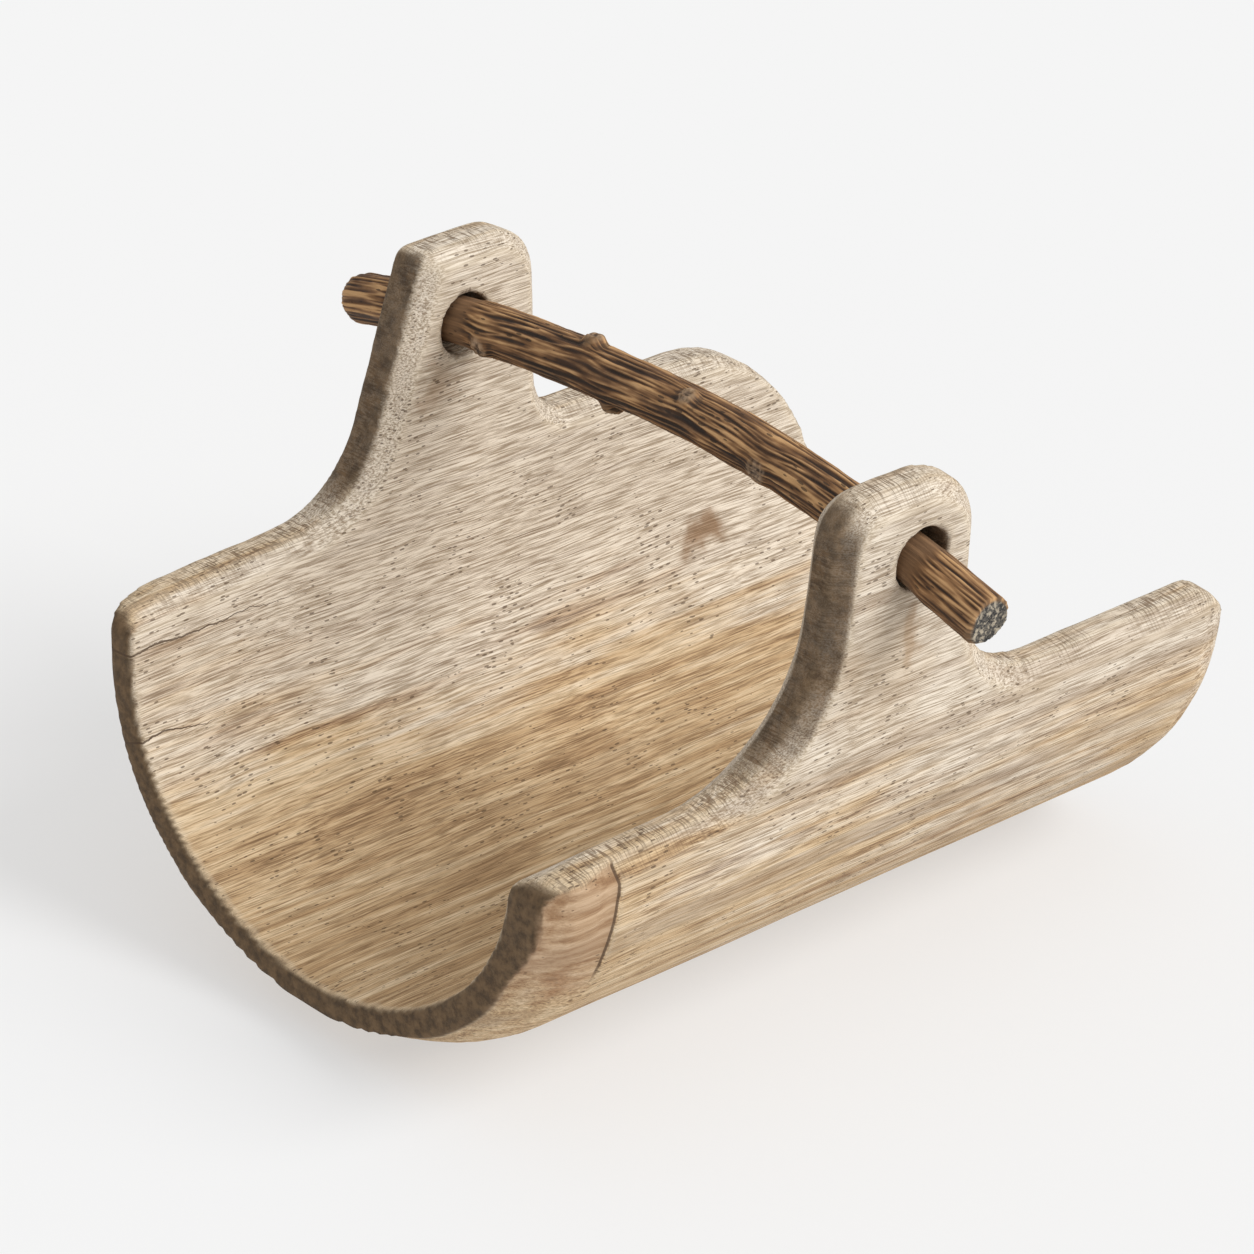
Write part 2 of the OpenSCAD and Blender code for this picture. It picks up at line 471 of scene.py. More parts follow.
@dataclass(frozen=True)
class WoodGrain:
    """What both woods share: fibres, streaks and pores that run along the grain, and worn edges."""

    wander: float = 0.006
    pore_reach: float = 0.23

    def build_grain(self) -> bpy.types.ShaderNodeTree:
        """The group that makes fibres, streaks, bands and pores.

        Returns:
            The group.
        """
        group, graph, given, made = new_group(
            "wood_grain",
            {
                "Vector": ("Vector", (0.0, 0.0, 0.0)),
                "Stretch": ("Vector", (1.0, 1.0, 1.0)),
                "Pore Stretch": ("Vector", (1.0, 1.0, 1.0)),
                "Fibre Scale": ("Float", 900.0),
                "Streak Scale": ("Float", 140.0),
                "Band Scale": ("Float", 26.0),
                "Pore Scale": ("Float", 420.0),
            },
            ("Fibre", "Streak", "Band", "Pores"),
        )
        place = given.outputs["Vector"]
        stir = graph.wobble(place, 9.0, 2.0, (self.wander, self.wander, self.wander))
        bent = graph.vector_math("ADD", place, stir)
        drawn = graph.vector_math("MULTIPLY", bent, given.outputs["Stretch"])
        fibre = graph.noise(drawn, given.outputs["Fibre Scale"], 3.0, 0.65)
        streak = graph.noise(drawn, given.outputs["Streak Scale"], 4.0, 0.6)
        band = graph.noise(drawn, given.outputs["Band Scale"], 3.0, 0.55)
        pore_place = graph.vector_math("MULTIPLY", bent, given.outputs["Pore Stretch"])
        cells = graph.add(
            "ShaderNodeTexVoronoi", {"Vector": pore_place, "Scale": given.outputs["Pore Scale"], "Randomness": 1.0}
        ).outputs["Distance"]
        crowd = graph.noise(place, 28.0, 3.0, 0.6)
        reach = graph.step(crowd, 0.37, 0.62, 0.0, self.pore_reach)
        pores = graph.math("LESS_THAN", cells, reach)
        for label, socket in (("Fibre", fibre), ("Streak", streak), ("Band", band), ("Pores", pores)):
            graph.tree.links.new(socket, made.inputs[label])
        return group

    def build_wear(self) -> bpy.types.ShaderNodeTree:
        """The group that rubs edges light and keeps grooves dark.

        Returns:
            The group.
        """
        group, graph, given, made = new_group(
            "edge_wear",
            {"Vector": ("Vector", (0.0, 0.0, 0.0)), "Convex": ("Float", 0.0), "Patchiness": ("Float", 60.0)},
            ("Worn", "Hollows Dark"),
        )
        patches = graph.noise(given.outputs["Vector"], given.outputs["Patchiness"], 4.0, 0.65)
        shifted = graph.times(graph.minus(patches, 0.5), 0.9)
        height = graph.plus(given.outputs["Convex"], shifted)
        for label, socket in (("Worn", graph.step(height, 0.15, 0.75)), ("Hollows Dark", graph.step(height, -0.12, -0.75))):
            graph.tree.links.new(socket, made.inputs[label])
        return group


@dataclass(frozen=True)
class Stain:
    """A darker spot in the wood, drawn out along the grain."""

    centre: tuple[float, float, float]
    reach: tuple[float, float, float]
    strength: float = 0.8
    colour: Colour = (0.27, 0.150, 0.070)


@dataclass(frozen=True)
class Crack:
    """A thin drying crack that starts at the front end and runs along the grain."""

    girth: float
    length: float
    half_width: float


@dataclass(frozen=True)
class CarvedWoodFinish:
    """Pale weathered wood with a worn white wash, dark pores and brown streaks."""

    grain: bpy.types.ShaderNodeTree
    wear: bpy.types.ShaderNodeTree
    front_y: float
    log_centre_z: float = 0.175
    facet_len: float = 46 * MM
    stains: tuple[Stain, ...] = (
        Stain((-0.125, 0.150, 0.105), (0.016, 0.030, 0.016), 0.85),
        Stain((-0.060, 0.020, 0.036), (0.020, 0.050, 0.020), 0.25),
        Stain((0.180, -0.010, 0.225), (0.012, 0.014, 0.030), 0.50, (0.34, 0.190, 0.085)),
        Stain((0.182, -0.030, 0.205), (0.022, 0.055, 0.060), 0.30, (0.50, 0.330, 0.170)),
        Stain((-0.146, -0.030, 0.238), (0.012, 0.018, 0.020), 0.45, (0.36, 0.215, 0.105)),
        Stain((0.158, -0.214, 0.086), (0.024, 0.024, 0.020), 0.75, (0.30, 0.135, 0.050)),
        Stain((0.156, -0.218, 0.088), (0.007, 0.009, 0.006), 0.95, (0.045, 0.022, 0.012)),
    )
    cracks: tuple[Crack, ...] = (
        Crack(-0.255, 0.145, 0.0006),
        Crack(-0.196, 0.070, 0.0007),
        Crack(-0.288, 0.060, 0.0005),
    )

    def build(self) -> bpy.types.Material:
        """Makes the material.

        Returns:
            The material.
        """
        material, graph = new_material("carved_wood")
        place = graph.add("ShaderNodeTexCoord").outputs["Object"]
        grain = graph.add(
            "ShaderNodeGroup",
            {
                "Vector": place,
                "Stretch": (1.0, 0.026, 1.0),
                "Pore Stretch": (1.0, 0.30, 1.0),
                "Fibre Scale": 1450.0,
                "Streak Scale": 170.0,
                "Band Scale": 34.0,
                "Pore Scale": 430.0,
            },
            node_tree=self.grain,
        )
        fibre, streak, band, pores = (grain.outputs[n] for n in ("Fibre", "Streak", "Band", "Pores"))
        rings = self.growth_rings(graph, place)
        worn = graph.add(
            "ShaderNodeGroup",
            {"Vector": place, "Convex": graph.mask(Mask.CONVEX), "Patchiness": 70.0},
            node_tree=self.wear,
        )
        inside = graph.mask(Mask.INSIDE)
        cut = graph.mask(Mask.CUT_FACE)
        end = graph.mask(Mask.END_GRAIN)
        strokes = self.rasp_strokes(graph)

        tone = graph.times(streak, 0.42)
        tone = graph.plus(tone, graph.times(band, 0.22))
        tone = graph.plus(tone, graph.times(rings, 0.04))
        tone = graph.plus(tone, graph.times(fibre, 0.36))
        colour = graph.ramp(
            tone,
            (
                (0.37, (0.165, 0.088, 0.040)),
                (0.44, (0.35, 0.210, 0.105)),
                (0.50, (0.54, 0.370, 0.205)),
                (0.56, (0.66, 0.490, 0.300)),
                (0.66, (0.75, 0.600, 0.415)),
            ),
        )
        axes = graph.add("ShaderNodeSeparateXYZ", {"Vector": place})
        colour = self.add_wash(graph, place, colour, fibre, streak, inside, cut, axes)
        outer = graph.math("SUBTRACT", 1.0, graph.plus(inside, cut), clamp=True)
        brown = graph.times(graph.times(outer, 0.42), graph.step(band, 0.53, 0.64))
        colour = graph.blend(brown, colour, (0.27, 0.165, 0.090))
        colour = self.add_stains(graph, place, colour)
        fine = graph.step(fibre, 0.37, 0.60, 0.72, 1.08)
        lines = self.grain_lines(graph, place)
        lines = graph.times(lines, graph.minus(1.0, graph.times(cut, 0.6)))
        colour = graph.blend(lines, colour, (0.20, 0.120, 0.062))
        shade = graph.add("ShaderNodeCombineColor", {0: fine, 1: fine, 2: fine}).outputs[0]
        colour = graph.blend(1.0, colour, shade, "MULTIPLY")
        colour = graph.blend(graph.times(strokes, graph.times(cut, 0.80)), colour, (0.18, 0.110, 0.060))
        colour = graph.blend(graph.times(worn.outputs["Worn"], 0.30), colour, (0.66, 0.55, 0.40))
        # Darker in hollows, from the convexity mask.
        colour = graph.blend(graph.times(worn.outputs["Hollows Dark"], 0.35), colour, (0.15, 0.10, 0.06))
        end_noise = graph.noise(place, 240.0, 5.0, 0.7)
        end_stops = ((0.35, (0.075, 0.050, 0.028)), (0.55, (0.19, 0.135, 0.080)), (0.72, (0.34, 0.26, 0.17)))
        end_tone = graph.ramp(end_noise, end_stops)
        colour = graph.blend(graph.times(end, 0.80), colour, end_tone)
        # Painted shade: faces turned to the front, away from the sun, are painted dark olive brown. The olive is
        # partly the wood's own darker front colour and partly painted shade; pores are fewer there.
        shaded = graph.mask(Mask.SHADED)
        front_olive_and_painted_shade = graph.ramp(streak, ((0.38, (0.060, 0.034, 0.015)), (0.62, (0.158, 0.096, 0.048))))
        colour = graph.blend(graph.times(shaded, 0.88), colour, front_olive_and_painted_shade)
        colour = self.add_facet(graph, colour, streak, axes)
        pores = graph.times(pores, graph.minus(1.0, graph.times(shaded, 0.7)))
        colour = graph.blend(graph.times(pores, 0.72), colour, (0.10, 0.060, 0.032))
        split = self.add_cracks(graph, axes)
        colour = graph.blend(graph.times(split, 0.85), colour, (0.085, 0.050, 0.028))

        height = graph.times(fibre, 0.55)
        height = graph.plus(height, graph.times(streak, 0.9))
        height = graph.minus(height, graph.times(pores, 0.6))
        height = graph.minus(height, graph.times(split, 1.6))
        height = graph.minus(height, graph.times(strokes, graph.times(cut, 1.5)))
        height = graph.plus(height, graph.times(end_noise, graph.times(end, 0.4)))
        bump = graph.add("ShaderNodeBump", {"Height": height, "Strength": 0.55, "Distance": 0.0011})
        rough = graph.step(streak, 0.3, 0.7, 0.72, 0.90)
        shader = graph.add(
            "ShaderNodeBsdfPrincipled",
            {"Base Color": colour, "Roughness": rough, "Normal": bump.outputs["Normal"], "Specular IOR Level": 0.28},
        )
        graph.add("ShaderNodeOutputMaterial", {"Surface": shader.outputs["BSDF"]})
        return material

    def add_facet(self, graph: NodeGraph, colour: Socket, streak: Socket, axes: bpy.types.Node) -> Socket:
        """Tints the bare facet at the right front corner and the saw cut behind it.

        Args:
            graph: The material's graph.
            colour: The wood so far.
            streak: The streaks.
            axes: The object coordinates, apart.

        Returns:
            The colour with the facet.
        """
        facet = graph.mask(Mask.FACET)
        edge = self.front_y + self.facet_len
        before = graph.step(axes.outputs["Y"], edge + 0.0004, edge - 0.0004)
        bare = graph.ramp(streak, ((0.38, (0.31, 0.175, 0.090)), (0.62, (0.54, 0.370, 0.235))))
        colour = graph.blend(graph.times(graph.times(facet, before), 0.78), colour, bare)
        away = graph.math("ABSOLUTE", graph.minus(axes.outputs["Y"], edge))
        cut = graph.step(away, 0.0011, 0.0004, 0.0, 0.85)
        return graph.blend(graph.times(cut, graph.step(facet, 0.25, 0.8)), colour, (0.085, 0.048, 0.026))

    def grain_lines(self, graph: NodeGraph, place: Socket) -> Socket:
        """Thin dark lines that run far along the grain, in patches.

        Args:
            graph: The material's graph.
            place: The object coordinates.

        Returns:
            The lines' strength, from 0 to 0.6.
        """
        drawn = graph.vector_math("MULTIPLY", place, (1.0, 0.012, 1.0))
        level = graph.noise(drawn, 330.0, 3.0, 0.6)
        away = graph.math("ABSOLUTE", graph.minus(level, 0.5))
        broad = graph.vector_math("MULTIPLY", place, (1.0, 0.3, 1.0))
        patch = graph.step(graph.noise(broad, 24.0, 3.0, 0.6), 0.42, 0.62)
        return graph.times(graph.step(away, 0.016, 0.003, 0.0, 0.60), patch)

    def growth_rings(self, graph: NodeGraph, place: Socket) -> Socket:
        """Lines of the log's yearly growth, which wander where the carving cuts them at a slant.

        Args:
            graph: The material's graph.
            place: The object coordinates.

        Returns:
            The rings, from 0 to 1.
        """
        centred = graph.vector_math("SUBTRACT", place, (0.012, 0.0, self.log_centre_z))
        flat = graph.vector_math("MULTIPLY", centred, (1.0, 0.0, 1.0))
        out = graph.length(flat)
        slow = graph.vector_math("MULTIPLY", place, (1.0, 0.22, 1.0))
        wander = graph.noise(slow, 11.0, 3.0, 0.5)
        out = graph.plus(out, graph.times(wander, 0.085))
        wave = graph.math("SINE", graph.times(out, 2 * math.pi / 0.0085))
        return graph.step(wave, -1.0, 1.0)

    def rasp_strokes(self, graph: NodeGraph) -> Socket:
        """Short strokes across the rims and round the ears.

        Args:
            graph: The material's graph.

        Returns:
            The strokes, 1 in a stroke and 0 beside it.
        """
        along = graph.mask(Mask.STROKES, vector=True)
        drawn = graph.vector_math("MULTIPLY", along, (1.0, 0.11, 1.0))
        lines = graph.noise(drawn, 800.0, 2.0, 0.6, 0.4)
        patch = graph.step(graph.noise(along, 34.0, 2.0), 0.32, 0.55)
        return graph.times(graph.step(lines, 0.49, 0.60), patch)

    def add_wash(
        self,
        graph: NodeGraph,
        place: Socket,
        colour: Socket,
        fibre: Socket,
        streak: Socket,
        inside: Socket,
        cut: Socket,
        axes: bpy.types.Node,
    ) -> Socket:
        """Lays the worn white wash over the wood, thickest high up and towards the middle.

        Args:
            graph: The material's graph.
            place: The object coordinates.
            colour: The bare wood.
            fibre: The fibres.
            streak: The streaks.
            inside: 1 on the hollow's face.
            cut: 1 on the rims' and ears' cut faces.
            axes: The object coordinates, apart.

        Returns:
            The washed colour.
        """
        cloud = graph.noise(graph.vector_math("MULTIPLY", place, (1.0, 0.42, 1.0)), 12.0, 3.0, 0.6, 0.8)
        brushed = graph.noise(graph.vector_math("MULTIPLY", place, (1.0, 0.05, 1.0)), 75.0, 4.0, 0.65)
        high = graph.step(axes.outputs["Z"], 0.030, 0.200, -0.15, 0.18)
        front = graph.step(axes.outputs["Y"], self.front_y, 0.0, -0.12, 0.05)
        amount = graph.plus(graph.times(cloud, 0.55), graph.times(brushed, 0.55))
        amount = graph.plus(amount, graph.plus(high, front))
        amount = graph.minus(amount, graph.times(cut, 0.10))
        middle = graph.times(inside, graph.step(axes.outputs["Z"], 0.030, 0.085, -0.05, 0.165))
        amount = graph.plus(amount, middle)
        amount = graph.plus(amount, graph.times(graph.minus(streak, 0.5), 0.35))
        share = graph.step(amount, 0.46, 0.76, 0.0, 0.84)
        tint = graph.ramp(fibre, ((0.38, (0.52, 0.410, 0.295)), (0.58, (0.80, 0.725, 0.620))))
        washed = graph.blend(share, colour, tint)
        amber = graph.step(axes.outputs["Z"], 0.095, 0.025, 0.0, 0.50)
        amber = graph.times(amber, inside)
        return graph.blend(graph.times(amber, graph.step(streak, 0.62, 0.40)), washed, (0.44, 0.285, 0.145))

    def add_stains(self, graph: NodeGraph, place: Socket, colour: Socket) -> Socket:
        """Lays the stains over the wood.

        Args:
            graph: The material's graph.
            place: The object coordinates.
            colour: The wood so far.

        Returns:
            The stained colour.
        """
        for stain in self.stains:
            offset = graph.vector_math("SUBTRACT", place, stain.centre)
            offset = graph.vector_math("ADD", offset, graph.wobble(place, 55.0, 3.0, (0.035, 0.05, 0.035)))
            scaled = graph.vector_math("DIVIDE", offset, stain.reach)
            away = graph.length(scaled)
            share = graph.step(away, 1.0, 0.25, 0.0, stain.strength)
            colour = graph.blend(share, colour, stain.colour)
        return colour

    def add_cracks(self, graph: NodeGraph, axes: bpy.types.Node) -> Socket:
        """The drying cracks.

        Args:
            graph: The material's graph.
            axes: The object coordinates, apart.

        Returns:
            1 in a crack, 0 elsewhere.
        """
        girth = graph.mask(Mask.GIRTH)
        along = axes.outputs["Y"]
        line = graph.add("ShaderNodeCombineXYZ", {"X": along, "Y": 0.0, "Z": 0.0}).outputs[0]
        total: Any = 0.0
        for number, crack in enumerate(self.cracks):
            moved = graph.vector_math("ADD", line, (0.0, 3.1 * number + 1.0, 0.0))
            wander = graph.times(graph.minus(graph.noise(moved, 26.0, 5.0, 0.6), 0.5), 0.016)
            away = graph.minus(girth, graph.plus(wander, crack.girth))
            away = graph.math("ABSOLUTE", away)
            taper = graph.step(along, self.front_y, self.front_y + crack.length, crack.half_width, 0.0)
            open_here = graph.math("LESS_THAN", away, taper)
            total = graph.math("MAXIMUM", total, open_here)
        return total


@dataclass(frozen=True)
class StickFinish:
    """Weathered brown branch wood: light ridges, dark grooves and cracked end grain."""

    grain: bpy.types.ShaderNodeTree
    wear: bpy.types.ShaderNodeTree

    def build(self) -> bpy.types.Material:
        """Makes the material.

        Returns:
            The material.
        """
        material, graph = new_material("stick_wood")
        place = graph.mask(Mask.STRAIGHT, vector=True)
        grain = graph.add(
            "ShaderNodeGroup",
            {
                "Vector": place,
                "Stretch": (0.035, 1.0, 1.0),
                "Pore Stretch": (0.25, 1.0, 1.0),
                "Fibre Scale": 1500.0,
                "Streak Scale": 420.0,
                "Band Scale": 90.0,
                "Pore Scale": 380.0,
            },
            node_tree=self.grain,
        )
        fibre, streak, band, pores = (grain.outputs[n] for n in ("Fibre", "Streak", "Band", "Pores"))
        relief = graph.mask(Mask.RELIEF)
        whittled = graph.mask(Mask.WHITTLED)
        knot = graph.mask(Mask.KNOT)
        end = graph.mask(Mask.END_GRAIN)
        worn = graph.add(
            "ShaderNodeGroup",
            {"Vector": place, "Convex": graph.mask(Mask.CONVEX), "Patchiness": 120.0},
            node_tree=self.wear,
        )
        tone = graph.plus(graph.times(relief, 0.80), graph.times(streak, 0.44))
        tone = graph.plus(tone, graph.times(band, 0.42))
        tone = graph.plus(tone, graph.times(fibre, 0.18))
        tone = graph.minus(tone, 0.37)
        # Painted shade: the lower side of the stick is painted darker, where less light from above falls.
        height_for_underside_shade = graph.add("ShaderNodeSeparateXYZ", {"Vector": place}).outputs["Z"]
        tone = graph.minus(tone, graph.step(height_for_underside_shade, 0.004, -0.011, 0.0, 0.17))
        colour = graph.ramp(
            tone,
            (
                (0.24, (0.022, 0.011, 0.006)),
                (0.42, (0.058, 0.027, 0.012)),
                (0.56, (0.140, 0.067, 0.027)),
                (0.69, (0.275, 0.143, 0.060)),
                (0.84, (0.560, 0.330, 0.150)),
            ),
        )
        smooth = graph.ramp(streak, ((0.35, (0.14, 0.078, 0.040)), (0.65, (0.30, 0.175, 0.090))))
        colour = graph.blend(graph.times(whittled, 0.75), colour, smooth)
        heart_stops = ((0.38, (0.045, 0.027, 0.017)), (0.62, (0.40, 0.28, 0.185)))
        heart = graph.ramp(graph.noise(place, 420.0, 3.0), heart_stops)
        colour = graph.blend(graph.times(knot, 0.8), colour, heart)
        colour = graph.blend(graph.times(worn.outputs["Worn"], 0.20), colour, (0.48, 0.30, 0.150))
        # Darker in hollows, from the convexity mask.
        colour = graph.blend(graph.times(worn.outputs["Hollows Dark"], 0.55), colour, (0.035, 0.022, 0.014))
        cracked = graph.vector_math("ADD", place, graph.wobble(place, 260.0, 3.0, (0.009, 0.009, 0.009)))
        split = graph.add("ShaderNodeTexVoronoi", {"Vector": cracked, "Scale": 170.0}, feature="DISTANCE_TO_EDGE")
        cells = split.outputs["Distance"]
        weathered = graph.ramp(
            graph.plus(graph.times(cells, 1.4), graph.times(graph.noise(place, 300.0, 4.0, 0.7), 0.6)),
            ((0.30, (0.022, 0.021, 0.021)), (0.45, (0.13, 0.115, 0.095)), (0.70, (0.42, 0.36, 0.27))),
        )
        colour = graph.blend(end, colour, weathered)
        colour = graph.blend(graph.times(pores, 0.7), colour, (0.022, 0.014, 0.009))
        height = graph.plus(graph.times(fibre, 0.5), graph.times(streak, 1.0))
        height = graph.minus(height, graph.times(pores, 0.6))
        bump = graph.add("ShaderNodeBump", {"Height": height, "Strength": 0.6, "Distance": 0.0009})
        shader = graph.add(
            "ShaderNodeBsdfPrincipled",
            {
                "Base Color": colour,
                "Roughness": graph.step(streak, 0.3, 0.7, 0.60, 0.82),
                "Normal": bump.outputs["Normal"],
                "Specular IOR Level": 0.35,
            },
        )
        graph.add("ShaderNodeOutputMaterial", {"Surface": shader.outputs["BSDF"]})
        return material


# ---------------------------------------------------------------------------------------------
# The pieces
# ---------------------------------------------------------------------------------------------


@dataclass(frozen=True)
class LogSection:
    """The trough's section: an arc underneath, an arc at each flank and two straight leaning sides."""

    bottom_r: float = 184 * MM
    bottom_angle: float = math.radians(45)
    flank_r: float = 141 * MM
    side_lean: float = math.radians(4.5)
    foot_w: float = 60 * MM
    wall: float = 31 * MM

    @property
    def bottom_height(self) -> float:
        """Height of the bottom arc's centre above the foot."""
        return math.sqrt(self.bottom_r**2 - (self.foot_w / 2) ** 2)

    @property
    def flank_centre(self) -> tuple[float, float]:
        """The right flank arc's centre, across and up."""
        apart = self.bottom_r - self.flank_r
        return apart * math.sin(self.bottom_angle), self.bottom_height - apart * math.cos(self.bottom_angle)

    @property
    def side_foot(self) -> tuple[float, float]:
        """Where the right side becomes straight, across and up, on the outside."""
        across, up = self.flank_centre
        return across + self.flank_r * math.cos(self.side_lean), up - self.flank_r * math.sin(self.side_lean)

    def unroll(self, points: np.ndarray) -> tuple[np.ndarray, np.ndarray, np.ndarray]:
        """Where points lie in the wall, as if it were flat.

        Args:
            points: The points, in the row frame.

        Returns:
            The girth from the middle of the bottom, less than 0 on the left, the depth below the
            outer face, and the unit vectors that point out of the wall.
        """
        side = np.where(points[:, 0] < 0, -1.0, 1.0)
        x, z = np.abs(points[:, 0]), points[:, 2]
        fx, fz = self.flank_centre
        sx, sz = self.side_foot
        lean = self.side_lean
        low = np.arctan2(x, self.bottom_height - z)
        flank = np.arctan2(x - fx, fz - z)
        up = (x - sx) * math.sin(lean) + (z - sz) * math.cos(lean)
        first = self.bottom_r * self.bottom_angle
        second = first + self.flank_r * (math.pi / 2 - lean - self.bottom_angle)
        in_bottom = (low < self.bottom_angle) & (z < self.bottom_height)
        straight = ~in_bottom & (up > 0)
        girth = np.where(
            in_bottom,
            self.bottom_r * low,
            np.where(straight, second + up, first + self.flank_r * (flank - self.bottom_angle)),
        )
        depth = np.where(
            in_bottom,
            self.bottom_r - np.hypot(x, self.bottom_height - z),
            np.where(
                straight,
                (sx - x) * math.cos(lean) + (z - sz) * math.sin(lean),
                self.flank_r - np.hypot(x - fx, fz - z),
            ),
        )
        angle = np.where(in_bottom, low, np.where(straight, math.pi / 2 - lean, flank))
        out = np.stack([side * np.sin(angle), np.zeros(len(x)), -np.cos(angle)], 1)
        return girth * side, depth, out


@dataclass
class Trough:
    """The carved trough with its two ears."""

    section: LogSection = field(default_factory=LogSection)
    node: str = "trough"
    grid: float = 2.8 * MM
    soften: int = 3
    hole_r: float = 17 * MM
    hole_y: float = -10 * MM
    hole_z: float = 266.5 * MM
    hole_edge: float = 2.0 * MM
    waviness: float = 0.6 * MM
    front_thin: float = 3.0 * MM
    back_set: float = 6.0 * MM
    facet_depth: float = 1.6 * MM
    knob_out: float = 9 * MM
    facet_len: float = 46 * MM
    grooves: float = 0.22 * MM
    piece: Optional[bpy.types.Object] = None

    def build(self) -> bpy.types.Object:
        """Models the trough.

        Returns:
            The finished piece.
        """
        piece = self.copy_of_frame()
        outlines = [self.outline(side) for side in (-1.0, 1.0)]
        apply_modifier(piece, "REMESH", mode="VOXEL", voxel_size=self.grid, use_smooth_shade=True)
        node = bpy.data.objects[self.node]
        apply_modifier(piece, "SHRINKWRAP", target=node, wrap_method="NEAREST_SURFACEPOINT")
        apply_modifier(piece, "SMOOTH", factor=0.35, iterations=self.soften)
        self.carve(piece.data, outlines)
        activate(piece)
        bpy.ops.object.shade_smooth()
        self.piece = piece
        return piece

    def copy_of_frame(self) -> bpy.types.Object:
        """A closed mesh with the frame's shape, to be worked on.

        Returns:
            The copy, as a new piece.
        """
        node = bpy.data.objects[self.node]
        piece = bpy.data.objects.new("carved_trough", node.data.copy())
        piece.data.materials.clear()
        bpy.context.scene.collection.objects.link(piece)
        activate(piece)
        bpy.ops.object.mode_set(mode="EDIT")
        bpy.ops.mesh.select_all(action="SELECT")
        bpy.ops.mesh.remove_doubles(threshold=1e-6)
        bpy.ops.object.mode_set(mode="OBJECT")
        return piece

    def outline(self, side: float) -> np.ndarray:
        """One side's outline halfway through the wall, from the front end to the back end.

        Args:
            side: -1 on the left, 1 on the right.

        Returns:
            Points along the rim and round the ear, each with its way along the outline: along, up, way.
        """
        piece = self.copy_of_frame()
        lean = self.section.side_lean
        sx, sz = self.section.side_foot
        half = self.section.wall / 2
        across = (sx - half * math.cos(lean), sz + half * math.sin(lean))
        bpy.ops.object.mode_set(mode="EDIT")
        bpy.ops.mesh.select_all(action="SELECT")
        bpy.ops.mesh.bisect(
            plane_co=(side * across[0], 0.0, across[1]),
            plane_no=(side * math.cos(lean), 0.0, -math.sin(lean)),
            clear_inner=True,
            clear_outer=True,
        )
        bpy.ops.object.mode_set(mode="OBJECT")
        points = read_points(piece.data)
        links: dict[int, list[int]] = {}
        for a, b in read_edges(piece.data).tolist():
            links.setdefault(a, []).append(b)
            links.setdefault(b, []).append(a)
        bpy.data.objects.remove(piece)
        start = min(range(len(points)), key=lambda i: points[i, 1] + 0.2 * points[i, 2])
        walks = []
        for first in links[start][:2]:
            walk, last, here = [start], start, first
            while here != start and len(walk) < len(points):
                walk.append(here)
                following = [n for n in links[here] if n != last]
                if not following:
                    break
                last, here = here, following[0]
            walks.append(walk)
        walk = max(walks, key=lambda w: points[w[min(len(w) - 1, 12)], 2])
        flat = points[walk][:, 1:]
        rim = flat[:, 1] > across[1] + 0.002
        flat = flat[: np.argmax(~rim)] if (~rim).any() and rim[0] else flat
        way = np.concatenate([[0.0], np.cumsum(np.hypot(*np.diff(flat, axis=0).T))])
        dense = np.linspace(0.0, way[-1], 500)
        return np.stack([np.interp(dense, way, flat[:, 0]), np.interp(dense, way, flat[:, 1]), dense], 1)

    def carve(self, mesh: bpy.types.Mesh, outlines: Sequence[np.ndarray]) -> None:
        """Gives the smooth shape its carved surface, and writes what the finish reads.

        Args:
            mesh: The trough's mesh.
            outlines: The left and the right side's outline.
        """
        low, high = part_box(self.node)
        points, normals = read_points(mesh), read_normals(mesh)
        girth, depth, out = self.section.unroll(points)
        facing = np.einsum("ij,ij->i", normals, out)
        inside = smooth_step(0.45, 0.85, -facing)
        outside = smooth_step(0.45, 0.85, facing)
        end = smooth_step(0.55, 0.85, np.abs(normals[:, 1])) * (np.abs(points[:, 1]) > 0.19)
        cut = np.clip(1.0 - inside - outside, 0.0, 1.0)
        flat = np.stack([girth, points[:, 1], depth], 1)

        lift = self.waviness * (inside + outside) * perlin(flat, (26.0, 9.0, 20.0), 3.0, 2) * 0.7
        lift += self.grooves * (inside + outside) * perlin(flat, (150.0, 9.0, 60.0), 11.0)
        lift += self.waviness * 0.7 * cut * (1.0 - 0.6 * end) * perlin(points, (48.0, 48.0, 48.0), 7.0, 2)
        foot = smooth_step(0.006, 0.0, points[:, 2]) * (np.abs(points[:, 0]) < self.section.foot_w / 2 + 0.004)
        lift *= 1.0 - foot
        points = points + normals * lift[:, None]
        points = self.trim_ends(points, facing)
        points += out * self.knob_share(points, depth)[:, None]
        facet = self.facet_share(points, outside)
        edge = low[1] + self.facet_len
        sunk = self.facet_depth * facet * smooth_step(edge + 1.2 * MM, edge - 1.2 * MM, points[:, 1])
        points -= normals * sunk[:, None]
        points = self.clear_holes(points, depth)
        points[:, 2] = np.where(foot > 0.9, 0.0, points[:, 2])
        points = np.clip(points, np.array(low), np.array(high))
        write_points(mesh, points)

